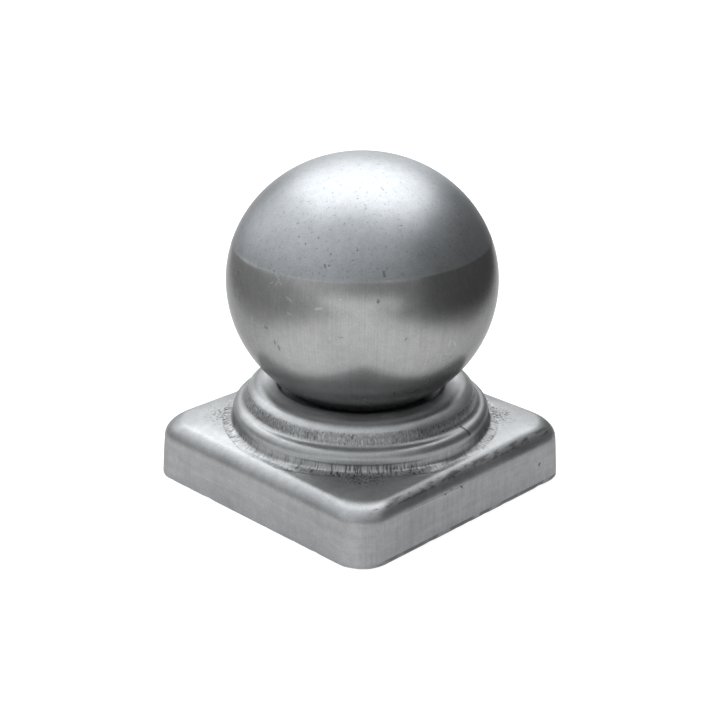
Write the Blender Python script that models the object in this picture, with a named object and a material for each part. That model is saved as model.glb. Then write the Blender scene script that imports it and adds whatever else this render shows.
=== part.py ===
"""Ball post cap of pressed sheet steel.

A square cap pressed from one sheet slips over the top of a square tube post.  Its flat
skirt rolls over a soft crown into a plate, and the plate rises in two round beads round a
recess.  A drawn steel ball sits in a cup in the recess, a little wider than it is high.
The cap stands on the edge of its skirt, with +Z up and the origin under its middle.
"""

import math

import bmesh
import bpy

# The post and the sheet that wraps it
POST_WIDTH = 0.080
POST_CLEARANCE = 0.0005
SHEET = 0.0015

# Skirt: the outside corner radius grows from the trimmed edge up to the crown
FOOT_CORNER = 0.0082
CROWN_CORNER = 0.0100
FOOT_BAND = 0.0015
WALL_HEIGHT = 0.0112

# Crown: part of a quarter ellipse from the upright wall to a crest that leans a little outward
CROWN_INSET = 0.0057
CROWN_RISE = 0.0054
CREST_LEAN = math.radians(20)

# Plate: rises from the crest to the toe of the moulding, which nearly touches the crest
# at the middle of each side
PLATE_RISE = 0.0009
TOE_MARGIN = 0.0005
TOE_RISE = 0.0022

# Ring beads: the middle of each round, the outer one above the plate, and the round itself
OUTER_BEAD_INSET = 0.0087
OUTER_BEAD_LIFT = 0.0032
OUTER_BEAD_ROUND = 0.0025
INNER_BEAD_STEP_IN = 0.0062
INNER_BEAD_STEP_UP = 0.0029
INNER_BEAD_ROUND = 0.0053
GROOVE_ROUND = 0.0009

# Recess inside the beads, and the cup in its floor that the ball sits in
CREST_ROUND = 0.0019
RECESS_DEPTH = 0.0026
RECESS_ROUND = 0.0011
SEAT_RADIUS = 0.0175
SEAT_GAP = 0.0003

# Ball: its height splits at the widest ring, and the lower part is the deeper one
BALL_WIDTH = 0.0740
BALL_ABOVE = 0.0345
BALL_BELOW = 0.0360

# How finely the round forms are cut into flat faces
SIDE_FACES = 8
CORNER_FACES = 5
CROWN_FACES = 5
PLATE_FACES = 3
TOE_FACES = 3
BEAD_FACES = 4
GROOVE_FACES = 3
CREST_FACES = 3
RECESS_FACES = 3
SEAT_FACES = 3
BALL_SECTORS = 48
BALL_RINGS = 24
SMOOTH_ANGLE = math.radians(40)

# Heights and widths that follow from the sizes above
SKIRT_HALF = POST_WIDTH / 2 + POST_CLEARANCE + SHEET
SKIRT_CORNER = SKIRT_HALF * math.sqrt(2) - CROWN_CORNER * (math.sqrt(2) - 1)
CREST_SHARE = 1 - CROWN_INSET / SKIRT_HALF * (1 - math.sin(CREST_LEAN))
CREST_HEIGHT = WALL_HEIGHT + CROWN_RISE * math.cos(CREST_LEAN)
TOE_RADIUS = SKIRT_HALF * CREST_SHARE - TOE_MARGIN
PLATE_LENGTH = SKIRT_CORNER * CREST_SHARE - TOE_RADIUS
PLATE_HEIGHT = CREST_HEIGHT + PLATE_RISE
OUTER_BEAD_RADIUS = SKIRT_HALF - OUTER_BEAD_INSET
INNER_BEAD_RADIUS = OUTER_BEAD_RADIUS - INNER_BEAD_STEP_IN
OUTER_BEAD_HEIGHT = PLATE_HEIGHT + OUTER_BEAD_LIFT
INNER_BEAD_HEIGHT = OUTER_BEAD_HEIGHT + INNER_BEAD_STEP_UP
FACE_RADIUS = OUTER_BEAD_RADIUS + OUTER_BEAD_ROUND
TOE_TOP = PLATE_HEIGHT + TOE_RISE
FLOOR_HEIGHT = INNER_BEAD_HEIGHT + INNER_BEAD_ROUND - RECESS_DEPTH
SEAT_DEPTH = BALL_BELOW * math.sqrt(1 - (2 * SEAT_RADIUS / BALL_WIDTH) ** 2)
BALL_MIDDLE = FLOOR_HEIGHT + SEAT_GAP + SEAT_DEPTH


def clear_scene():
    for item in list(bpy.data.objects):
        bpy.data.objects.remove(item)


def steel(name, colour, roughness):
    material = bpy.data.materials.new(name)
    material.use_nodes = True
    shader = material.node_tree.nodes["Principled BSDF"]
    shader.inputs["Base Color"].default_value = (*colour, 1.0)
    shader.inputs["Metallic"].default_value = 1.0
    shader.inputs["Roughness"].default_value = roughness
    return material


def rounded_square(half, radius):
    """Points round a square with round corners, in turn."""
    outline = []
    middle = half - radius
    for quarter in range(4):
        turn = quarter * math.pi / 2
        points = [(half, middle * (2 * step / SIDE_FACES - 1)) for step in range(SIDE_FACES)]
        for step in range(CORNER_FACES):
            angle = step / CORNER_FACES * math.pi / 2
            points.append((middle + radius * math.cos(angle), middle + radius * math.sin(angle)))
        for x, y in points:
            turned = (x * math.cos(turn) - y * math.sin(turn), x * math.sin(turn) + y * math.cos(turn))
            outline.append(turned)
    return outline


def crown_line(reach):
    """Radius and height over the crown, from above the wall to the crest."""
    line = []
    for step in range(1, CROWN_FACES + 1):
        lean = math.pi / 2 + (CREST_LEAN - math.pi / 2) * step / CROWN_FACES
        drawn = 1 - CROWN_INSET / SKIRT_HALF * (1 - math.sin(lean))
        line.append((reach * drawn, WALL_HEIGHT + CROWN_RISE * math.cos(lean)))
    return line


def plate_line(crest):
    """Radius and height over the plate, from its crest to the toe, flatter the further it goes."""
    line = []
    for step in range(1, PLATE_FACES + 1):
        radius = crest + (TOE_RADIUS - crest) * step / PLATE_FACES
        left = 1 - (crest - radius) / PLATE_LENGTH
        line.append((radius, CREST_HEIGHT + PLATE_RISE * (1 - left * left)))
    return line


def toe_line(foot):
    """Radius and height up the hollow toe, from the plate's height to the bead's upright face."""
    line = []
    for step in range(1, TOE_FACES + 1):
        share = step / TOE_FACES
        radius = FACE_RADIUS + (TOE_RADIUS - FACE_RADIUS) * (1 - share) ** 2
        line.append((radius, foot + (TOE_TOP - foot) * share ** 2))
    return line


def arc(centre, radius, start, end, faces):
    """Points of an arc whose normal leans out from upright by start to end."""
    points = []
    for step in range(faces + 1):
        lean = start + (end - start) * step / faces
        points.append((centre[0] + radius * math.sin(lean), centre[1] + radius * math.cos(lean)))
    return points


def seat_height(radius):
    """Height of the cup that follows the ball's underside, a hair below it."""
    return BALL_MIDDLE - SEAT_GAP - BALL_BELOW * math.sqrt(1 - (2 * radius / BALL_WIDTH) ** 2)


def bead_profile():
    """Radius and height from the outer bead's face over both beads to the edge of the seat."""
    outer = (OUTER_BEAD_RADIUS, OUTER_BEAD_HEIGHT)
    inner = (INNER_BEAD_RADIUS, INNER_BEAD_HEIGHT)
    run = inner[0] - outer[0]
    rise = inner[1] - outer[1]
    apart = math.hypot(run, rise)
    # The groove is the hollow arc that touches both beads from outside
    groove = max((apart - OUTER_BEAD_ROUND - INNER_BEAD_ROUND) / 2, 0.0) + GROOVE_ROUND
    to_outer = OUTER_BEAD_ROUND + groove
    to_inner = INNER_BEAD_ROUND + groove
    along = (apart * apart + to_outer ** 2 - to_inner ** 2) / (2 * apart)
    aside = math.sqrt(to_outer ** 2 - along ** 2)
    across = outer[0] + (run * along + rise * aside) / apart
    hollow = (across, outer[1] + (rise * along - run * aside) / apart)
    lean_outer = math.atan2(hollow[0] - outer[0], hollow[1] - outer[1])
    lean_inner = math.atan2(hollow[0] - inner[0], hollow[1] - inner[1])
    # The crest of the inner bead turns down tightly and rounds out onto a level floor
    crest = (inner[0], inner[1] + INNER_BEAD_ROUND - CREST_ROUND)
    both = CREST_ROUND + RECESS_ROUND
    lean_recess = -math.acos((both - RECESS_DEPTH) / both)
    foot = (crest[0] + both * math.sin(lean_recess), FLOOR_HEIGHT + RECESS_ROUND)
    profile = arc(outer, OUTER_BEAD_ROUND, math.pi / 2, lean_outer, BEAD_FACES)
    profile += arc(hollow, groove, lean_outer - math.pi, lean_inner - math.pi, GROOVE_FACES)[1:]
    profile += arc(inner, INNER_BEAD_ROUND, lean_inner, 0.0, BEAD_FACES)[1:]
    profile += arc(crest, CREST_ROUND, 0.0, lean_recess, CREST_FACES)[1:]
    profile += arc(foot, RECESS_ROUND, lean_recess + math.pi, math.pi, RECESS_FACES)[1:]
    for step in range(SEAT_FACES):
        radius = SEAT_RADIUS * (1 - step / SEAT_FACES)
        profile.append((radius, seat_height(radius)))
    return profile


def upper_face_rays():
    """The sheet's outer face as rays of points from the skirt's edge to the seat, all round."""
    foot = rounded_square(SKIRT_HALF, FOOT_CORNER)
    top = rounded_square(SKIRT_HALF, CROWN_CORNER)
    moulding = bead_profile()
    rays = []
    for low, high in zip(foot, top):
        reach = math.hypot(*high)
        crown = crown_line(reach)
        plate = plate_line(crown[-1][0])
        toe = toe_line(plate[-1][1])
        ray = [(*low, 0.0), (*low, FOOT_BAND), (*high, WALL_HEIGHT)]
        for radius, height in crown + plate + toe + moulding:
            ray.append((high[0] / reach * radius, high[1] / reach * radius, height))
        rays.append(ray)
    return rays


def finish_object(name, mesh, material):
    mesh.materials.append(material)
    mesh.shade_smooth()
    mesh.set_sharp_from_angle(angle=SMOOTH_ANGLE)
    item = bpy.data.objects.new(name, mesh)
    bpy.context.scene.collection.objects.link(item)
    return item


def make_base_cap():
    """The pressed cap: skirt, crown, plate, two beads and seat in one sheet, hollow below."""
    rays = upper_face_rays()
    shape = bmesh.new()
    rings = [[shape.verts.new(ray[level]) for ray in rays] for level in range(len(rays[0]))]
    around = len(rays)
    for low, high in zip(rings, rings[1:]):
        for index in range(around):
            after = (index + 1) % around
            shape.faces.new((low[index], low[after], high[after], high[index]))
    middle = shape.verts.new((0.0, 0.0, seat_height(0.0)))
    for index in range(around):
        shape.faces.new((rings[-1][index], rings[-1][(index + 1) % around], middle))
    mesh = bpy.data.meshes.new("base_cap")
    shape.to_mesh(mesh)
    shape.free()
    cap = finish_object("base_cap", mesh, steel("pressed_steel", (0.52, 0.53, 0.54), 0.38))
    wall = cap.modifiers.new("sheet", "SOLIDIFY")
    wall.thickness = SHEET
    wall.offset = -1.0
    wall.use_even_offset = True
    wall.use_quality_normals = True
    return cap


def make_ball():
    """The drawn ball, closed all round, sitting in the cap's seat."""
    shape = bmesh.new()
    bmesh.ops.create_uvsphere(shape, u_segments=BALL_SECTORS, v_segments=BALL_RINGS, radius=1.0)
    for vert in shape.verts:
        vert.co.x *= BALL_WIDTH / 2
        vert.co.y *= BALL_WIDTH / 2
        vert.co.z *= BALL_ABOVE if vert.co.z > 0 else BALL_BELOW
    mesh = bpy.data.meshes.new("ball")
    shape.to_mesh(mesh)
    shape.free()
    ball = finish_object("ball", mesh, steel("drawn_steel", (0.56, 0.57, 0.58), 0.34))
    ball.location.z = BALL_MIDDLE
    return ball


clear_scene()
make_base_cap()
make_ball()
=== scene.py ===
"""Ball post cap: a pressed square cap of raw sheet steel with a drawn steel ball on top."""

import math

import bmesh
import bpy
from mathutils import Matrix, Vector, noise


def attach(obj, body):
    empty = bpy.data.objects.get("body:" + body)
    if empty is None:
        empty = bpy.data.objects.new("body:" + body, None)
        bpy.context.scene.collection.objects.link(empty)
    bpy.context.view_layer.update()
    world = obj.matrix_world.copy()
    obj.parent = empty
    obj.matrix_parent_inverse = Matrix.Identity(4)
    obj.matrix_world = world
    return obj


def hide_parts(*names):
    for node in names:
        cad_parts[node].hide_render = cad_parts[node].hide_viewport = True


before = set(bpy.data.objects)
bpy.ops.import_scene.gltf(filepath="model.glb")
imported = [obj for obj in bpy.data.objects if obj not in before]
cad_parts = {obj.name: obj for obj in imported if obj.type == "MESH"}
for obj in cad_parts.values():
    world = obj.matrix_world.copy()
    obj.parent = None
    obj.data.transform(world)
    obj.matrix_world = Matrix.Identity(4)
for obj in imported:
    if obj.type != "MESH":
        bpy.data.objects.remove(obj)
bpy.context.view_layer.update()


# Pressed cap
# One sheet of 1.5 mm steel, pressed over a former: a square skirt that slips over the post,
# a rolled crown, a plate, and two round beads round the cup that carries the ball.

SHEET = 0.0015
SKIRT_HALF = 0.042
FOOT_CORNER = 0.0082
CROWN_CORNER = 0.0100
FOOT_BAND = 0.0015
WALL_HEIGHT = 0.0112
TRIM_WAVE = 0.0005
TRIM_CELLS = 260
CORNER_STEPS = 12
SIDE_STEPS = 28
HAIR = 1e-6

# Crown: part of a quarter ellipse from the upright wall to a crest that leans a little outward,
# and the reach of its lowest ring to a corner
CROWN_INSET = 0.0057
CROWN_RISE = 0.0054
CREST_LEAN = math.radians(20)
CROWN_STEPS = 6
CREST_SHARE = 1 - CROWN_INSET / SKIRT_HALF * (1 - math.sin(CREST_LEAN))
CREST_HEIGHT = WALL_HEIGHT + CROWN_RISE * math.cos(CREST_LEAN)
CORNER_REACH = SKIRT_HALF * math.sqrt(2) - CROWN_CORNER * (math.sqrt(2) - 1)

# Plate and toe: from the crest up to the outer bead's upright face
PLATE_RISE = 0.0009
TOE_RADIUS = SKIRT_HALF * CREST_SHARE - 0.0005
TOE_FOOT = CREST_HEIGHT + 0.0001
TOE_TOP = CREST_HEIGHT + PLATE_RISE + 0.0022

# Beads: reach and height of each round's middle, its radius, and the groove between them
OUTER_BEAD = (0.0333, CREST_HEIGHT + PLATE_RISE + 0.0032)
OUTER_ROUND = 0.0025
INNER_BEAD = (0.0271, OUTER_BEAD[1] + 0.0029)
INNER_ROUND = 0.0053
GROOVE_ROUND = 0.0017
CREST_FLAT = 0.0030
CREST_ROUND = 0.0013
FACE_RADIUS = OUTER_BEAD[0] + OUTER_ROUND

# Recess inside the beads, and the cup in its floor that carries the ball
FLOOR_HEIGHT = INNER_BEAD[1] + INNER_ROUND - 0.0026
RECESS_ROUND = 0.0011
FLANK_LEAN = math.radians(62)
FLOOR_FALL = 0.0006
SEAT_RADIUS = 0.0175
SEAT_GAP = 0.0003
FLOOR_RINGS = (0.0200, 0.0188, SEAT_RADIUS + 0.0004)
BALL_WIDTH = 0.0740
BALL_ABOVE = 0.0345
BALL_BELOW = 0.0360
BALL_MIDDLE = FLOOR_HEIGHT + SEAT_GAP + BALL_BELOW * math.sqrt(1 - (2 * SEAT_RADIUS / BALL_WIDTH) ** 2)


def edit(item):
    """Opens one object for modelling with nothing else selected."""
    bpy.ops.object.select_all(action="DESELECT")
    item.select_set(True)
    bpy.context.view_layer.objects.active = item
    bpy.ops.object.mode_set(mode="EDIT")
    bpy.ops.mesh.select_mode(type="VERT")
    bpy.ops.mesh.select_all(action="SELECT")


def pick(item, wanted):
    """Selects the vertices whose place is wanted, and nothing else."""
    bpy.ops.mesh.select_all(action="DESELECT")
    mesh = bmesh.from_edit_mesh(item.data)
    for vert in mesh.verts:
        if wanted(vert.co):
            vert.select = True
    mesh.select_flush(True)
    bmesh.update_edit_mesh(item.data)


bpy.ops.object.select_all(action="DESELECT")
bpy.ops.mesh.primitive_plane_add(size=2 * SKIRT_HALF)
cap = bpy.context.object
cap.name = "pressed_cap"
edit(cap)
bpy.ops.mesh.bevel(offset=FOOT_CORNER, segments=CORNER_STEPS, affect="VERTICES")
bpy.ops.mesh.delete(type="ONLY_FACE")
bpy.ops.mesh.select_all(action="DESELECT")
outline = bmesh.from_edit_mesh(cap.data)
for edge in outline.edges:
    edge.select = edge.calc_length() > SKIRT_HALF
bmesh.update_edit_mesh(cap.data)
bpy.ops.mesh.subdivide(number_cuts=SIDE_STEPS - 1)
bpy.ops.mesh.select_all(action="SELECT")

# The skirt goes up from its trimmed edge, and its corners open out to the crown's radius
bpy.ops.mesh.extrude_region_move(TRANSFORM_OT_translate={"value": (0, 0, FOOT_BAND)})
bpy.ops.mesh.extrude_region_move(TRANSFORM_OT_translate={"value": (0, 0, WALL_HEIGHT - FOOT_BAND)})
for across in (-1, 1):
    for along in (-1, 1):
        start = SKIRT_HALF - FOOT_CORNER - HAIR
        pick(cap, lambda co: co.z > FOOT_BAND + HAIR and co.x * across > start and co.y * along > start)
        bpy.ops.transform.resize(
            value=(CROWN_CORNER / FOOT_CORNER, CROWN_CORNER / FOOT_CORNER, 1),
            center_override=(SKIRT_HALF * across, SKIRT_HALF * along, WALL_HEIGHT),
        )
pick(cap, lambda co: co.z > FOOT_BAND + HAIR)

# Every further ring is the one before it, drawn in, rounded and lifted.  How round it gets is
# told from the first ring's mean reach and corner reach, both as shares of its reach to a side.
crown_line = [vert.co.xy.length for vert in bmesh.from_edit_mesh(cap.data).verts if vert.select]
mean = sum(crown_line) / len(crown_line) / SKIRT_HALF
square = CORNER_REACH / SKIRT_HALF
ring = {"scale": SKIRT_HALF, "round": 0.0, "height": WALL_HEIGHT}


def grow(side, corner, height):
    """Extrudes the sheet's edge into a ring with its own reach to the sides and corners."""
    wanted = corner / side
    rounding = (square - wanted) / ((square - wanted) + mean * (wanted - 1))
    scale = side / (1 - rounding + rounding * mean)
    bpy.ops.mesh.extrude_region_move(TRANSFORM_OT_translate={"value": (0, 0, height - ring["height"])})
    change = scale / ring["scale"]
    bpy.ops.transform.resize(value=(change, change, 1), center_override=(0, 0, height))
    if ring["round"] < 1 and rounding > ring["round"]:
        turn = 1 - (1 - rounding) / (1 - ring["round"])
        bpy.ops.transform.tosphere(value=turn, center_override=(0, 0, height))
    ring.update(scale=scale, round=rounding, height=height)


def toe_reach(height, foot):
    """Reach of the hollow toe at a height, from its foot on the plate to the bead's face."""
    left = 1 - math.sqrt(max(height - foot, 0.0) / (TOE_TOP - foot))
    return FACE_RADIUS + (TOE_RADIUS - FACE_RADIUS) * left * left


for step in range(1, CROWN_STEPS + 1):
    lean = math.pi / 2 + (CREST_LEAN - math.pi / 2) * step / CROWN_STEPS
    drawn = 1 - CROWN_INSET / SKIRT_HALF * (1 - math.sin(lean))
    grow(SKIRT_HALF * drawn, CORNER_REACH * drawn, WALL_HEIGHT + CROWN_RISE * math.cos(lean))
plate_length = CORNER_REACH * CREST_SHARE - TOE_RADIUS
for share in (0.12, 0.35, 0.6, 0.82, 0.96):
    height = CREST_HEIGHT + PLATE_RISE * share
    grow(toe_reach(height, TOE_FOOT), TOE_RADIUS + plate_length * math.sqrt(1 - share), height)
for share in (0.1, 0.25, 0.45, 0.7, 0.97):
    height = CREST_HEIGHT + PLATE_RISE + (TOE_TOP - CREST_HEIGHT - PLATE_RISE) * share
    grow(toe_reach(height, TOE_FOOT), toe_reach(height, CREST_HEIGHT + PLATE_RISE), height)


def roll(middle, radius, start, end, steps, first=0):
    """Carries the sheet's edge round an arc, between two leans of its normal from upright."""
    for step in range(first, steps + 1):
        lean = start + (end - start) * step / steps
        reach = middle[0] + radius * math.sin(lean)
        grow(reach, reach, middle[1] + radius * math.cos(lean))


# Both beads, with the hollow of the groove touching each of them from outside
step_in = INNER_BEAD[0] - OUTER_BEAD[0]
step_up = INNER_BEAD[1] - OUTER_BEAD[1]
apart = math.hypot(step_in, step_up)
to_outer = OUTER_ROUND + GROOVE_ROUND
to_inner = INNER_ROUND + GROOVE_ROUND
forward = (apart ** 2 + to_outer ** 2 - to_inner ** 2) / (2 * apart)
beside = math.sqrt(to_outer ** 2 - forward ** 2)
groove_reach = OUTER_BEAD[0] + (step_in * forward + step_up * beside) / apart
groove_height = OUTER_BEAD[1] + (step_up * forward - step_in * beside) / apart
outer_lean = math.atan2(groove_reach - OUTER_BEAD[0], groove_height - OUTER_BEAD[1])
inner_lean = math.atan2(groove_reach - INNER_BEAD[0], groove_height - INNER_BEAD[1])
roll(OUTER_BEAD, OUTER_ROUND, math.pi / 2, outer_lean, 6)
roll((groove_reach, groove_height), GROOVE_ROUND, outer_lean - math.pi, inner_lean - math.pi, 4, 1)
roll(INNER_BEAD, INNER_ROUND, inner_lean, 0.0, 8, 1)

# The inner bead's crest turns down steeply and rounds out on the recess floor, which falls a
# little outward, and the cup follows the ball's underside
crest = (INNER_BEAD[0] - CREST_FLAT, INNER_BEAD[1] + INNER_ROUND - CREST_ROUND)
grow(crest[0] + CREST_FLAT / 2, crest[0] + CREST_FLAT / 2, crest[1] + CREST_ROUND)
grow(crest[0], crest[0], crest[1] + CREST_ROUND)
roll(crest, CREST_ROUND, 0.0, -FLANK_LEAN, 4, 1)
hollow_height = FLOOR_HEIGHT + FLOOR_FALL + RECESS_ROUND
fall = crest[1] + CREST_ROUND * math.cos(FLANK_LEAN) - hollow_height + RECESS_ROUND * math.cos(FLANK_LEAN)
hollow_reach = crest[0] - (CREST_ROUND + RECESS_ROUND) * math.sin(FLANK_LEAN) - fall / math.tan(FLANK_LEAN)
roll((hollow_reach, hollow_height), RECESS_ROUND, math.pi - FLANK_LEAN, math.pi, 3)
for reach in FLOOR_RINGS:
    share = (reach - SEAT_RADIUS) / (hollow_reach - SEAT_RADIUS)
    grow(reach, reach, FLOOR_HEIGHT + FLOOR_FALL * share)
for share in (1.0, 0.75, 0.5, 0.25):
    reach = SEAT_RADIUS * share
    dip = BALL_BELOW * math.sqrt(1 - (2 * reach / BALL_WIDTH) ** 2)
    grow(reach, reach, BALL_MIDDLE - SEAT_GAP - dip)
bpy.ops.mesh.extrude_region_move(TRANSFORM_OT_translate={"value": (0, 0, 0)})
bpy.ops.mesh.merge(type="CENTER")
bpy.ops.mesh.select_all(action="SELECT")
bpy.ops.mesh.normals_make_consistent(inside=False)
bpy.ops.object.mode_set(mode="OBJECT")

smooth = cap.modifiers.new("smooth", "SUBSURF")
smooth.levels = 1
smooth.render_levels = 1
bpy.ops.object.modifier_apply(modifier=smooth.name)
sheet = cap.modifiers.new("sheet", "SOLIDIFY")
sheet.thickness = SHEET
sheet.offset = -1.0
sheet.use_even_offset = True
bpy.ops.object.modifier_apply(modifier=sheet.name)

# The trimmed lower edge is level with the floor, but for a slight wave left by the shears
for vert in cap.data.vertices:
    if vert.co.z < FOOT_BAND / 4:
        vert.co.z = TRIM_WAVE * max(noise.noise(vert.co.xy.to_3d() * TRIM_CELLS), 0.0)
bpy.ops.object.shade_smooth_by_angle(angle=math.radians(40))


def join(tree, socket, value):
    """Gives a socket a value, or wires it to another node."""
    if isinstance(value, bpy.types.NodeSocket):
        tree.links.new(value, socket)
    else:
        socket.default_value = value


def calc(tree, operation, first, second=0.0, third=0.0):
    """A sum on numbers or sockets."""
    made = tree.nodes.new("ShaderNodeMath")
    made.operation = operation
    for socket, value in zip(made.inputs, (first, second, third)):
        join(tree, socket, value)
    return made.outputs[0]


def vector(tree, operation, first, second=(0.0, 0.0, 0.0), output=0):
    """A sum on vectors; output one is the number that it gives."""
    made = tree.nodes.new("ShaderNodeVectorMath")
    made.operation = operation
    join(tree, made.inputs[0], first)
    join(tree, made.inputs[1], second)
    return made.outputs[output]


def grade(tree, value, low, high, bottom=0.0, top=1.0):
    """Runs smoothly from bottom at low to top at high."""
    made = tree.nodes.new("ShaderNodeMapRange")
    made.interpolation_type = "SMOOTHSTEP"
    for socket, setting in zip(made.inputs, (value, low, high, bottom, top)):
        join(tree, socket, setting)
    return made.outputs[0]


def vary(tree, value, spread, middle=1.0):
    """Noise turned into a tone, spread evenly about its middle."""
    return grade(tree, value, 0.3, 0.7, middle - spread, middle + spread)


def speckle(tree, place, scale, detail):
    """Noise between nought and one, with its cells per metre."""
    made = tree.nodes.new("ShaderNodeTexNoise")
    join(tree, made.inputs["Vector"], place)
    made.inputs["Scale"].default_value = scale
    made.inputs["Detail"].default_value = detail
    return made.outputs["Fac"]


def surface(tree):
    """The object's own place in metres, split, with its radius and direction round the axis."""
    place = tree.nodes.new("ShaderNodeTexCoord").outputs["Object"]
    parts = tree.nodes.new("ShaderNodeSeparateXYZ")
    tree.links.new(place, parts.inputs[0])
    flat = vector(tree, "MULTIPLY", place, (1.0, 1.0, 0.0))
    around = vector(tree, "NORMALIZE", flat)
    return place, parts.outputs, vector(tree, "LENGTH", flat, output=1), around


def streaks(tree, around, across, turns, steps, detail):
    """Noise drawn out along one way: cells per radian round the axis, and per metre across."""
    lift = tree.nodes.new("ShaderNodeCombineXYZ")
    join(tree, lift.inputs[2], calc(tree, "MULTIPLY", across, steps))
    turned = vector(tree, "MULTIPLY", around, (turns, turns, 0.0))
    return speckle(tree, vector(tree, "ADD", turned, lift.outputs[0]), 1.0, detail)


def band(tree, value, low, high, edge):
    """One between low and high, fading out over the edge on both sides."""
    up = grade(tree, value, low - edge, low)
    return calc(tree, "MULTIPLY", up, grade(tree, value, high, high + edge, 1.0, 0.0))


def all_of(tree, *masks):
    """Where every mask holds, and the product of tones."""
    made = masks[0]
    for mask in masks[1:]:
        made = calc(tree, "MULTIPLY", made, mask)
    return made


def mark(tree, place, spot, along, length, width):
    """One short stroke: near the spot, within its length along a direction, and its width."""
    line = Vector(along).normalized()
    off = vector(tree, "SUBTRACT", place, tuple(spot))
    reach = vector(tree, "DOT_PRODUCT", off, tuple(line), output=1)
    beside = vector(tree, "LENGTH", vector(tree, "CROSS_PRODUCT", off, tuple(line)), output=1)
    near = grade(tree, beside, width * 0.7, width * 0.3)
    reach = calc(tree, "ABSOLUTE", reach)
    return calc(tree, "MULTIPLY", near, grade(tree, reach, length * 0.55, length * 0.4))


def any_of(tree, *masks):
    """Where at least one mask holds."""
    made = masks[0]
    for mask in masks[1:]:
        made = calc(tree, "MAXIMUM", made, mask)
    return made


def inside(tree, mask, tone):
    """The tone where the mask holds, and one elsewhere."""
    return calc(tree, "MULTIPLY_ADD", mask, calc(tree, "SUBTRACT", tone, 1.0), 1.0)


def wear_and_painted_light(tree, tone, *marks):
    """The tone darkened by each mask's share, or brightened where the share is negative; the masks are
    marks and wear, and painted light and shade.
    """
    for mask, loss in marks:
        tone = calc(tree, "MULTIPLY", tone, calc(tree, "MULTIPLY_ADD", mask, -loss, 1.0))
    return tone


def relief(tree, shader, *layers):
    """Bump from layers, each a mask and its height in metres."""
    height = 0.0
    for mask, rise in layers:
        height = calc(tree, "MULTIPLY_ADD", mask, rise, height)
    bump = tree.nodes.new("ShaderNodeBump")
    bump.inputs["Distance"].default_value = 1.0
    tree.links.new(height, bump.inputs["Height"])
    tree.links.new(bump.outputs["Normal"], shader.inputs["Normal"])


STEEL_GREY = (0.278, 0.286, 0.292)
EDGE_TINT = (0.60, 0.60, 0.60, 1)

# Where the marks lie, in metres: from, to, and the width over which they fade on both sides
TOE_RADII = (0.0360, 0.0384, 0.0005)
TOE_HEIGHTS = (0.0166, 0.0190, 0.0006)
BEAD_FOOT_RADII = (0.0308, 0.0330, 0.0004)
BEAD_FOOT_HEIGHTS = (0.0236, 0.0261, 0.0005)
RING_HIGHLIGHT_RADII = (0.0301, 0.0312, 0.0006)
SCUFF_HEIGHTS = (0.0148, 0.0156, 0.0006)
DARK_EDGE_HEIGHTS = (0.0004, 0.0010, 0.0003)
RIB_REACH = (-0.0200, 0.0140, 0.0080)

steel = bpy.data.materials.new("pressed_steel")
steel.use_nodes = True
tree = steel.node_tree
shader = tree.nodes["Principled BSDF"]
shader.inputs["Metallic"].default_value = 1.0
shader.inputs["Specular Tint"].default_value = EDGE_TINT
place, (x, y, z), radius, around = surface(tree)

# How near a point is to the cap's diagonals, one on them and less to either side, and how near
# it is to the upright walls
diagonal = calc(tree, "DIVIDE", calc(tree, "MULTIPLY", x, y), calc(tree, "MULTIPLY", radius, radius))
diagonal = calc(tree, "MULTIPLY", calc(tree, "ABSOLUTE", diagonal), 2.0)
wall = grade(tree, z, 0.0105, 0.0135, 1.0, 0.0)

# Wrinkles where the sheet was pressed in round the moulding's toe, most of all towards the
# corners, and finer ones round the upper bead's foot
centre = grade(tree, diagonal, 0.2, 0.95)
toe = all_of(
    tree,
    band(tree, radius, *TOE_RADII),
    band(tree, z, *TOE_HEIGHTS),
    grade(tree, centre, 0.0, 1.0, 0.45, 1.0),
)
patches = calc(tree, "SUBTRACT", speckle(tree, place, 230.0, 3.0), 0.5)
dashes = streaks(tree, around, radius, 72.0, 800.0, 3.0)
dashes = calc(tree, "MULTIPLY_ADD", patches, 0.35, dashes)
dashes = calc(tree, "MULTIPLY_ADD", centre, 0.03, dashes)
# Dark dashes are painted shade and dirt in the toe's wrinkles, bright ones are painted glints
shade_and_dirt_dashes = calc(tree, "MULTIPLY", toe, grade(tree, dashes, 0.56, 0.64))
glint_dashes = calc(tree, "MULTIPLY", toe, grade(tree, dashes, 0.45, 0.37))
foot = all_of(tree, band(tree, radius, *BEAD_FOOT_RADII), band(tree, z, *BEAD_FOOT_HEIGHTS))
dots = streaks(tree, around, radius, 70.0, 2600.0, 1.0)
dots = calc(tree, "MULTIPLY_ADD", patches, 0.25, dots)
# Dark dots are painted shade and dirt in the wrinkles round the bead's foot, bright ones are painted
# glints
shade_and_dirt_dots = calc(tree, "MULTIPLY", foot, grade(tree, dots, 0.58, 0.66))
glint_dots = calc(tree, "MULTIPLY", foot, grade(tree, dots, 0.42, 0.34))

# Specks scattered over the plate's corners
corner = all_of(
    tree,
    grade(tree, diagonal, 0.90, 1.00),
    grade(tree, radius, 0.0480, 0.0385),
    grade(tree, radius, 0.0365, 0.0375),
    grade(tree, z, 0.0158, 0.0162),
)
specks = speckle(tree, place, 1500.0, 1.0)
dark_specks = grade(tree, calc(tree, "MULTIPLY_ADD", corner, 0.19, specks), 0.68, 0.78)
dark_specks = calc(tree, "MULTIPLY", corner, dark_specks)

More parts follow.
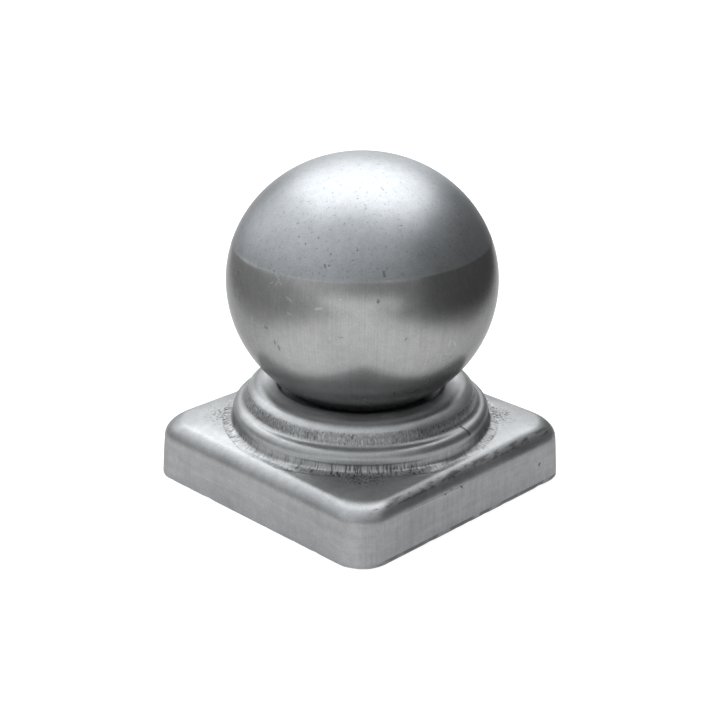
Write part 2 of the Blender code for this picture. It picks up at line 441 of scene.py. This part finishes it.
# Scuffs just under the crest of the wall seen at the right, and a patchy darker band along its lower edge
right_side = grade(tree, y, -0.0385, -0.0395)
scuff_place = vector(tree, "MULTIPLY", place, (1.0, 1.0, 4.0))
scuffs = all_of(
    tree,
    right_side,
    band(tree, z, *SCUFF_HEIGHTS),
    grade(tree, speckle(tree, scuff_place, 260.0, 4.0), 0.48, 0.60),
)
dark_lower_edge = all_of(
    tree,
    grade(tree, y, -0.0412, -0.0416),
    band(tree, z, *DARK_EDGE_HEIGHTS),
    grade(tree, speckle(tree, place, 140.0, 3.0), 0.35, 0.50),
)

# Painted highlights on the upper bead, along a ring above its wrinkles and from its crest inward,
# and painted shade on the wall on the scuffed side
painted_highlight = grade(tree, radius, 0.0282, 0.0262)
painted_ring_highlight = all_of(tree, band(tree, radius, *RING_HIGHLIGHT_RADII), grade(tree, z, 0.0255, 0.0262))
painted_side_shade = all_of(tree, right_side, wall)

# Single marks on the two walls that the camera sees: a dent and specks on the scuffed one,
# scratches by the near corner and along both, and a nick in the outer bead
near_wall = -SKIRT_HALF
dents = any_of(
    tree,
    mark(tree, place, (0.0285, near_wall, 0.0070), (1, 0, -0.6), 0.0008, 0.0009),
    mark(tree, place, (-0.0086, near_wall, 0.0126), (1, 0, 0.4), 0.0010, 0.0005),
    mark(tree, place, (-0.0046, near_wall, 0.0118), (1, 0, -1), 0.0012, 0.0005),
    mark(tree, place, (-0.0110, near_wall, 0.0119), (1, 0, 0), 0.0007, 0.0005),
    mark(tree, place, (0.0055, -0.0340, 0.0222), (0.4, -1, -1.0), 0.0036, 0.0009),
)
scratches = any_of(
    tree,
    mark(tree, place, (near_wall, -0.0344, 0.0045), (0, 1, 0.35), 0.0030, 0.0003),
    mark(tree, place, (near_wall, -0.0362, 0.0066), (0, 1, -1.6), 0.0032, 0.0003),
    mark(tree, place, (near_wall, -0.0100, 0.0083), (0, 1, 0.08), 0.0120, 0.0003),
    mark(tree, place, (near_wall, 0.0120, 0.0060), (0, 1, -0.05), 0.0160, 0.0003),
    mark(tree, place, (-0.0150, near_wall, 0.0118), (1, 0, -0.02), 0.0240, 0.0004),
    mark(tree, place, (0.0120, near_wall, 0.0108), (1, 0, -0.03), 0.0200, 0.0003),
)

# Broad mottling, a finer haze and the grain, with lines drawn up and along the walls
mottle = speckle(tree, place, 70.0, 5.0)
haze = speckle(tree, place, 420.0, 3.0)
grain = speckle(tree, place, 2600.0, 1.0)
upright_place = vector(tree, "MULTIPLY", place, (1.0, 1.0, 0.03))
upright = speckle(tree, upright_place, 1300.0, 3.0)
ribs = all_of(tree, band(tree, x, *RIB_REACH), right_side, grade(tree, z, 0.0120, 0.0080), upright)
level_place = vector(tree, "MULTIPLY", place, (0.06, 0.06, 1.0))
level = speckle(tree, level_place, 520.0, 4.0)

drawn_up = calc(tree, "MULTIPLY_ADD", right_side, 0.03, 0.02)
drawn_up = all_of(tree, drawn_up, vary(tree, upright, 1.0, 0.0))
wall_tone = calc(tree, "ADD", vary(tree, level, 0.05), drawn_up)
tone = wear_and_painted_light(
    tree,
    all_of(
        tree,
        vary(tree, mottle, 0.07),
        vary(tree, haze, 0.05),
        vary(tree, grain, 0.06),
        inside(tree, wall, wall_tone),
    ),
    (shade_and_dirt_dashes, 0.65),
    (shade_and_dirt_dots, 0.45),
    (dark_specks, 0.60),
    (scuffs, 0.50),
    (dark_lower_edge, 0.50),
    (painted_highlight, -0.70),
    (painted_ring_highlight, -0.35),
    # Painted shade over the whole band round the upper bead's foot
    (foot, 0.15),
    (painted_side_shade, 0.12),
    (dents, 0.60),
    (scratches, -0.18),
    (glint_dashes, -0.45),
    (glint_dots, -0.40),
)
grey = tree.nodes.new("ShaderNodeCombineXYZ")
for socket, share in zip(grey.inputs, STEEL_GREY):
    join(tree, socket, calc(tree, "MULTIPLY", tone, share))
tree.links.new(grey.outputs[0], shader.inputs["Base Color"])
rough = grade(tree, mottle, 0.3, 0.7, 0.38, 0.44)
join(tree, shader.inputs["Roughness"], calc(tree, "MULTIPLY_ADD", toe, 0.08, rough))
relief(
    tree,
    shader,
    (grain, 0.000004),
    (haze, 0.000008),
    (all_of(tree, toe, dashes), -0.00020),
    (all_of(tree, foot, dots), -0.00010),
    (dark_specks, -0.00003),
    (all_of(tree, wall, upright), 0.000006),
    (ribs, 0.00004),
    (dents, -0.00010),
    (scratches, 0.00003),
    (all_of(tree, wall, level), 0.000012),
)
cap.data.materials.append(steel)
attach(cap, "root")
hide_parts("base_cap")


# Ball
# A hollow ball drawn from the same steel and set in the cup.  Its dome is a separate pressing,
# duller and bluer, and meets the smoother lower part in a fine step above the widest ring.

SEAM = 0.0694
SEAM_WIDTH = 0.0002
SEAM_STEP = 0.00003

# The seam is a little lower at the photograph's left
QUARTER = math.pi / 4
LEAN = math.radians(1.3)
LEAN_AXIS = (-math.sin(LEAN) * math.cos(QUARTER), math.sin(LEAN) * math.sin(QUARTER), math.cos(LEAN))

# Degrees round the ball from the cap's own front to the side that faces the camera
FRONT = 45.8

LOWER_GREY = (0.286, 0.288, 0.286, 1)
DOME_GREY = (0.268, 0.281, 0.293, 1)

bpy.ops.object.select_all(action="DESELECT")
bpy.ops.mesh.primitive_uv_sphere_add(segments=192, ring_count=128, radius=BALL_WIDTH / 2)
ball = bpy.context.object
ball.name = "drawn_ball"
edit(ball)
pick(ball, lambda co: co.z > 0)
bpy.ops.transform.resize(value=(1, 1, 2 * BALL_ABOVE / BALL_WIDTH), center_override=(0, 0, 0))
pick(ball, lambda co: co.z < 0)
bpy.ops.transform.resize(value=(1, 1, 2 * BALL_BELOW / BALL_WIDTH), center_override=(0, 0, 0))
bpy.ops.mesh.select_all(action="SELECT")
bpy.ops.transform.translate(value=(0, 0, BALL_MIDDLE))

# The step between dome and lower part: two cuts close together, and the dome drawn in
for offset in (0.0, SEAM_WIDTH):
    bpy.ops.mesh.select_all(action="SELECT")
    bpy.ops.mesh.bisect(plane_co=(0, 0, SEAM + offset), plane_no=LEAN_AXIS)
axis = Vector(LEAN_AXIS)
pick(ball, lambda co: (co - Vector((0, 0, SEAM + SEAM_WIDTH / 2))).dot(axis) > 0)
bpy.ops.transform.shrink_fatten(value=-SEAM_STEP)
bpy.ops.object.mode_set(mode="OBJECT")
bpy.ops.object.shade_smooth_by_angle(angle=math.radians(40))

drawn = bpy.data.materials.new("drawn_steel")
drawn.use_nodes = True
tree = drawn.node_tree
shader = tree.nodes["Principled BSDF"]
shader.inputs["Metallic"].default_value = 1.0
shader.inputs["Specular Tint"].default_value = EDGE_TINT
place, (x, y, z), radius, around = surface(tree)
rise = vector(tree, "DOT_PRODUCT", place, LEAN_AXIS, output=1)
dome = grade(tree, rise, SEAM - SEAM_WIDTH / 2, SEAM + SEAM_WIDTH * 1.5)
lower = calc(tree, "SUBTRACT", 1.0, dome)


def blend(tree, share, first, second):
    """One colour passing into another."""
    made = tree.nodes.new("ShaderNodeMix")
    made.data_type = "RGBA"
    for index, value in ((0, share), (6, first), (7, second)):
        join(tree, made.inputs[index], value)
    return made.outputs[2]


def pits(tree, place, scale, size, share):
    """Round pits at random places, in a share of the cells; size is a pit's radius in metres."""
    made = tree.nodes.new("ShaderNodeTexVoronoi")
    join(tree, made.inputs["Vector"], place)
    made.inputs["Scale"].default_value = scale
    chance = tree.nodes.new("ShaderNodeSeparateColor")
    tree.links.new(made.outputs["Color"], chance.inputs[0])
    spot = grade(tree, made.outputs["Distance"], size * scale, size * scale * 0.4)
    return calc(tree, "MULTIPLY", spot, calc(tree, "LESS_THAN", chance.outputs[0], share))


dome_pits = calc(tree, "MULTIPLY", dome, pits(tree, place, 430.0, 0.00036, 0.36))
low_pits = calc(tree, "MULTIPLY", lower, pits(tree, place, 170.0, 0.00040, 0.16))
dome_specks = calc(tree, "MULTIPLY", dome, grade(tree, speckle(tree, place, 1300.0, 1.0), 0.64, 0.70))

# Painted highlight at the ball's foot, and painted shade on both flanks of the lower part
painted_highlight = grade(tree, z, 0.0370, 0.0300)
side = vector(tree, "DOT_PRODUCT", place, (math.cos(QUARTER), -math.sin(QUARTER), 0), output=1)
painted_flank_shade = calc(tree, "MULTIPLY", lower, grade(tree, calc(tree, "ABSOLUTE", side), 0.0120, 0.0320))


def on_ball(azimuth, height):
    """A place on the ball, by its degrees to the right of the side that faces the camera."""
    lift = height - BALL_MIDDLE
    reach = BALL_WIDTH / 2 * math.sqrt(1 - (lift / (BALL_ABOVE if lift > 0 else BALL_BELOW)) ** 2)
    turn = math.radians(azimuth - FRONT)
    return Vector((reach * math.sin(turn), -reach * math.cos(turn), height))


def stroke(tree, place, start, end, width):
    """A mark on the ball between two places, each an azimuth in degrees and a height."""
    first, last = on_ball(*start), on_ball(*end)
    return mark(tree, place, (first + last) / 2, last - first, (last - first).length, width)


scratches = any_of(
    tree,
    stroke(tree, place, (-39, 0.0692), (-35, 0.0665), 0.0003),
    stroke(tree, place, (-38, 0.0658), (-36, 0.0680), 0.0003),
    stroke(tree, place, (-41, 0.0660), (-39, 0.0668), 0.0003),
    stroke(tree, place, (-32, 0.0640), (-29, 0.0632), 0.0004),
    stroke(tree, place, (-19, 0.0622), (-16, 0.0627), 0.0005),
    stroke(tree, place, (-31, 0.0602), (-29, 0.0598), 0.0004),
    stroke(tree, place, (-9, 0.0655), (-8, 0.0652), 0.0006),
    stroke(tree, place, (40, 0.0515), (43, 0.0492), 0.0004),
    stroke(tree, place, (37, 0.0480), (41, 0.0472), 0.0003),
    stroke(tree, place, (38, 0.0500), (39, 0.0520), 0.0003),
)
dents = any_of(
    tree,
    stroke(tree, place, (-43, 0.0545), (-41, 0.0541), 0.0005),
    stroke(tree, place, (-36.5, 0.0500), (-36, 0.0485), 0.0005),
    stroke(tree, place, (-38, 0.0512), (-38, 0.0500), 0.0004),
    stroke(tree, place, (6, 0.0652), (7, 0.0650), 0.0009),
    stroke(tree, place, (9, 0.0722), (9.5, 0.0705), 0.0006),
    stroke(tree, place, (-16.5, 0.0732), (-16, 0.0722), 0.0006),
    stroke(tree, place, (-14.5, 0.0732), (-14.5, 0.0726), 0.0005),
    stroke(tree, place, (-8, 0.0555), (-8, 0.0553), 0.0007),
    stroke(tree, place, (17.5, 0.0547), (17.8, 0.0545), 0.0007),
    stroke(tree, place, (41.5, 0.0462), (41.8, 0.0460), 0.0008),
    stroke(tree, place, (16.5, 0.0375), (20.5, 0.0315), 0.0004),
)

mottle = speckle(tree, place, 60.0, 5.0)
haze = speckle(tree, place, 500.0, 3.0)
grain = speckle(tree, place, 2400.0, 1.0)
drawing = streaks(tree, around, z, 75.0, 40.0, 3.0)
tone = wear_and_painted_light(
    tree,
    all_of(
        tree,
        vary(tree, mottle, 0.05),
        vary(tree, haze, 0.04),
        vary(tree, grain, 0.05),
        inside(tree, lower, vary(tree, drawing, 0.04)),
    ),
    (dome_pits, 0.45),
    (dome_specks, 0.20),
    (low_pits, 0.40),
    (dents, 0.40),
    (scratches, -0.25),
    (painted_highlight, -0.70),
    (painted_flank_shade, 0.24),
)
scaled = vector(tree, "SCALE", blend(tree, dome, LOWER_GREY, DOME_GREY))
join(tree, scaled.node.inputs["Scale"], tone)
tree.links.new(scaled, shader.inputs["Base Color"])
rough = grade(tree, dome, 0.0, 1.0, 0.25, 0.39)
join(tree, shader.inputs["Roughness"], calc(tree, "MULTIPLY_ADD", mottle, 0.06, rough))
relief(
    tree,
    shader,
    (grain, 0.000005),
    (haze, 0.000010),
    (all_of(tree, lower, drawing), 0.000006),
    (dents, -0.00005),
    (scratches, 0.00002),
    (dome_pits, -0.00003),
    (low_pits, -0.00003),
)
ball.data.materials.append(drawn)
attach(ball, "root")
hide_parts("ball")


# Floor
# A pale matt sheet, lit from below as well, so the cap stands on almost pure white.  The lit strip
# widens away from the camera, and the sheet is greyer on both sides of what the picture shows.

FLOOR_WIDTH = 6.0
FLOOR_DROP = 0.0001
LIT_HALF = 0.098
LIT_SPREAD = 0.24
LIT_FADE = 0.07
DIM_LEFT = 0.50
DIM_RIGHT = 0.25
FLOOR_GREY = 0.40
FLOOR_GLOW = 0.74
TURN = 0.0143
CAMERA_TURN = -math.pi / 4 - TURN


def seen(right, back, up):
    """A place given to the camera's right, away from it and up, from the cap's middle."""
    return Matrix.Rotation(CAMERA_TURN, 3, "Z") @ Vector((right, back, up))


bpy.ops.object.select_all(action="DESELECT")
bpy.ops.mesh.primitive_plane_add(size=FLOOR_WIDTH, location=(0, 0, -FLOOR_DROP))
floor = bpy.context.object
floor.name = "floor"
pale = bpy.data.materials.new("pale_floor")
pale.use_nodes = True
tree = pale.node_tree
shader = tree.nodes["Principled BSDF"]
place = tree.nodes.new("ShaderNodeTexCoord").outputs["Object"]
across = vector(tree, "DOT_PRODUCT", place, tuple(seen(1, 0, 0)), output=1)
away = vector(tree, "DOT_PRODUCT", place, tuple(seen(0, 1, 0)), output=1)
half = calc(tree, "MAXIMUM", calc(tree, "MULTIPLY_ADD", away, LIT_SPREAD, LIT_HALF), LIT_HALF)
over = calc(tree, "SUBTRACT", calc(tree, "ABSOLUTE", across), half)
dimmer = grade(tree, across, -0.05, 0.05, DIM_LEFT, DIM_RIGHT)
lit = grade(tree, over, 0.0, LIT_FADE, 1.0, dimmer)
grey = tree.nodes.new("ShaderNodeCombineXYZ")
for socket in grey.inputs:
    join(tree, socket, calc(tree, "MULTIPLY", lit, FLOOR_GREY))
tree.links.new(grey.outputs[0], shader.inputs["Base Color"])
shader.inputs["Roughness"].default_value = 1.0
shader.inputs["Specular IOR Level"].default_value = 0.0
shader.inputs["Emission Color"].default_value = (1, 1, 1, 1)
tree.links.new(calc(tree, "MULTIPLY", lit, FLOOR_GLOW), shader.inputs["Emission Strength"])
floor.data.materials.append(pale)


# Cards
# Two sheets of paper standing upright just outside the picture, a black one at the right and
# a low grey one at the left.  The steel mirrors them, which darkens its flanks.


def card(name, width, height, place, turn, grey):
    """An upright sheet of matt paper."""
    bpy.ops.object.select_all(action="DESELECT")
    bpy.ops.mesh.primitive_plane_add(size=1.0, location=place, rotation=(math.pi / 2, 0, turn))
    item = bpy.context.object
    item.name = name
    item.scale = (width, height, 1)
    paper = bpy.data.materials.new(name)
    paper.use_nodes = True
    shader = paper.node_tree.nodes["Principled BSDF"]
    shader.inputs["Base Color"].default_value = (grey, grey, grey, 1)
    shader.inputs["Roughness"].default_value = 1.0
    shader.inputs["Specular IOR Level"].default_value = 0.0
    item.data.materials.append(paper)


card("black_card", 0.56, 0.30, seen(0.20, 0.10, 0.15), CAMERA_TURN + math.pi / 2, 0.12)
card("grey_card", 0.50, 0.10, seen(-0.24, 0.02, 0.05), CAMERA_TURN + math.pi / 2, 0.60)


# Studio light
# Soft all round, brighter overhead and at the left, with four softboxes: a broad one above and
# behind the cap, a low one straight behind it, one at the left and a flat strip in front.

world = bpy.data.worlds.new("studio")
bpy.context.scene.world = world
world.use_nodes = True
tree = world.node_tree
glow = tree.nodes["Background"]
way = tree.nodes.new("ShaderNodeTexCoord").outputs["Generated"]
upward = vector(tree, "DOT_PRODUCT", way, (0.0, 0.0, 1.0), output=1)
leftward = vector(tree, "DOT_PRODUCT", way, tuple(seen(-1.0, 0.0, 0.0)), output=1)
overhead = grade(tree, upward, 0.15, 1.0, 0.34, 1.3)
from_left = grade(tree, leftward, -0.1, 0.9, 0.0, 0.7)
strength = calc(tree, "ADD", overhead, from_left)
glow.inputs["Color"].default_value = (0.98, 0.99, 1.0, 1)
tree.links.new(strength, glow.inputs["Strength"])


def softbox(name, azimuth, elevation, away, width, height, glow):
    """An area light that faces the ball, by degrees to the camera's right and up, and metres."""
    lamp = bpy.data.lights.new(name, "AREA")
    lamp.shape = "RECTANGLE"
    lamp.size = width
    lamp.size_y = height
    lamp.energy = glow * width * height * math.pi
    item = bpy.data.objects.new(name, lamp)
    bpy.context.scene.collection.objects.link(item)
    turn = math.radians(azimuth)
    lift = math.radians(elevation)
    way = seen(math.sin(turn) * math.cos(lift), -math.cos(turn) * math.cos(lift), math.sin(lift))
    place = way * away + Vector((0, 0, BALL_MIDDLE))
    item.matrix_world = Matrix.Translation(place) @ way.to_track_quat("Z", "Y").to_matrix().to_4x4()


softbox("overhead", 176, 62, 0.8, 1.1, 0.95, 3.3)
softbox("back", 178, 14, 1.3, 0.9, 0.5, 1.7)
softbox("left", -125, 24, 1.1, 0.7, 0.8, 0.9)
softbox("front", 0, 2, 1.2, 1.5, 0.21, 1.4)


# Camera
# At the photograph's viewing angle, found from the skirt's edges and corners.  The focal length
# is in pixels of a frame 720 wide, and the place in skirt widths from the middle of its foot.

SPAN = 2 * SKIRT_HALF
FRAME_WIDTH = 720
SENSOR = 36
FOCAL = 1599.6
PITCH = 0.3958
ROLL = 0.012
AWAY = 4.8704
ABOVE = 2.4408
ASIDE = -0.0043

lens = bpy.data.cameras.new("camera")
lens.sensor_width = SENSOR
lens.lens = SENSOR * FOCAL / FRAME_WIDTH
camera = bpy.data.objects.new("camera", lens)
bpy.context.scene.collection.objects.link(camera)
place = seen(ASIDE, -AWAY, ABOVE) * SPAN
camera.matrix_world = (
    Matrix.Translation(place)
    @ Matrix.Rotation(CAMERA_TURN, 4, "Z")
    @ Matrix.Rotation(math.pi / 2 - PITCH, 4, "X")
    @ Matrix.Rotation(ROLL, 4, "Z")
)
bpy.context.scene.camera = camera
bpy.context.scene.view_settings.view_transform = "Standard"
